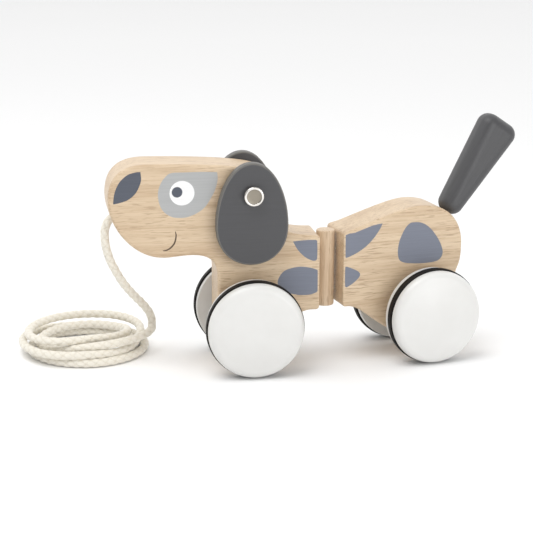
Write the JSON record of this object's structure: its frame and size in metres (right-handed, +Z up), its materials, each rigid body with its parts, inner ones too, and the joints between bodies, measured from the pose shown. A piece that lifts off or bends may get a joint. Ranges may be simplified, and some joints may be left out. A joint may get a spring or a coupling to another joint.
{
  "type": "pull along toy",
  "caption": "Jointed wooden pull-along dog: two shaped planks on a round waist post, grooved wheels with rubber rings, swinging ears, slanted tail, coiled cotton cord.",
  "frame": {"origin": "on the floor, under the middle of the toy's own bounding box, the pull cord left out", "axes": "+Z up, -X towards the dog's nose and the pull cord, -Y the dog's left side; the front half is square to the axes and the rear half is turned 9.8 degrees about the waist"},
  "size_m": [0.3008, 0.1183, 0.1425],
  "materials": {
    "wood": "pale plywood or solid wood, satin clear lacquer, grain along the body, grey-blue painted patches",
    "charcoal_paint": "wood stained and lacquered dark grey, satin",
    "white_paint": "turned wood, white satin paint",
    "rubber": "matte black rubber ring",
    "nickel": "polished nickel plate",
    "steel": "plain drawn steel",
    "nylon": "natural nylon",
    "elastic": "cotton-covered elastic cord",
    "cotton": "braided natural cotton cord, soft"
  },
  "bodies": {
    "front_half": {"front_body": "wood", "ear_pin": "steel", "left_ear_washer": "nylon", "right_ear_washer": "nylon", "left_ear_cap": "nickel", "right_ear_cap": "nickel", "upper_elastic": "elastic", "lower_elastic": "elastic", "pull_cord_lead": "cotton", "pull_cord_coil": "cotton", "pull_cord_knot": "cotton"},
    "left_ear_body": {"left_ear": "charcoal_paint"},
    "right_ear_body": {"right_ear": "charcoal_paint"},
    "front_wheels": {"front_axle": "steel", "front_left_wheel": "white_paint", "front_left_tyre": "rubber", "front_left_washer": "nylon", "front_right_wheel": "white_paint", "front_right_tyre": "rubber", "front_right_washer": "nylon"},
    "waist_post_body": {"waist_post": "wood"},
    "rear_half": {"rear_body": "wood", "tail": "charcoal_paint", "tail_peg": "wood"},
    "rear_wheels": {"rear_axle": "steel", "rear_left_wheel": "white_paint", "rear_left_tyre": "rubber", "rear_left_washer": "nylon", "rear_right_wheel": "white_paint", "rear_right_tyre": "rubber", "rear_right_washer": "nylon"}
  },
  "joints": [
    {"name": "left_ear_swing", "type": "hinge", "parent": "front_half", "child": "left_ear_body", "pos_m": [-0.04228, -0.00558, 0.1054], "axis": [0, 1, 0], "continuous": true},
    {"name": "right_ear_swing", "type": "hinge", "parent": "front_half", "child": "right_ear_body", "pos_m": [-0.04228, -0.00558, 0.1054], "axis": [0, 1, 0], "continuous": true},
    {"name": "front_wheels_roll", "type": "hinge", "parent": "front_half", "child": "front_wheels", "pos_m": [-0.04188, -0.00558, 0.0286], "axis": [0, 1, 0], "continuous": true},
    {"name": "waist_bend", "type": "hinge", "parent": "front_half", "child": "rear_half", "pos_m": [0.00422, -0.00558, 0.0566], "axis": [0, 0, 1], "range_deg": [-39.8, 20.2], "deforming": ["upper_elastic", "lower_elastic"]},
    {"name": "waist_post_turn", "type": "hinge", "parent": "front_half", "child": "waist_post_body", "pos_m": [0.00422, -0.00558, 0.0566], "axis": [0, 0, 1], "range_deg": [-20, 10.2]},
    {"name": "rear_wheels_roll", "type": "hinge", "parent": "rear_half", "child": "rear_wheels", "pos_m": [0.06186, 0.00438, 0.0286], "axis": [-0.1702, 0.9854, 0], "continuous": true}
  ],
  "couplings": [
    {"joint": "waist_post_turn", "follows": "waist_bend", "ratio": 0.5}
  ]
}
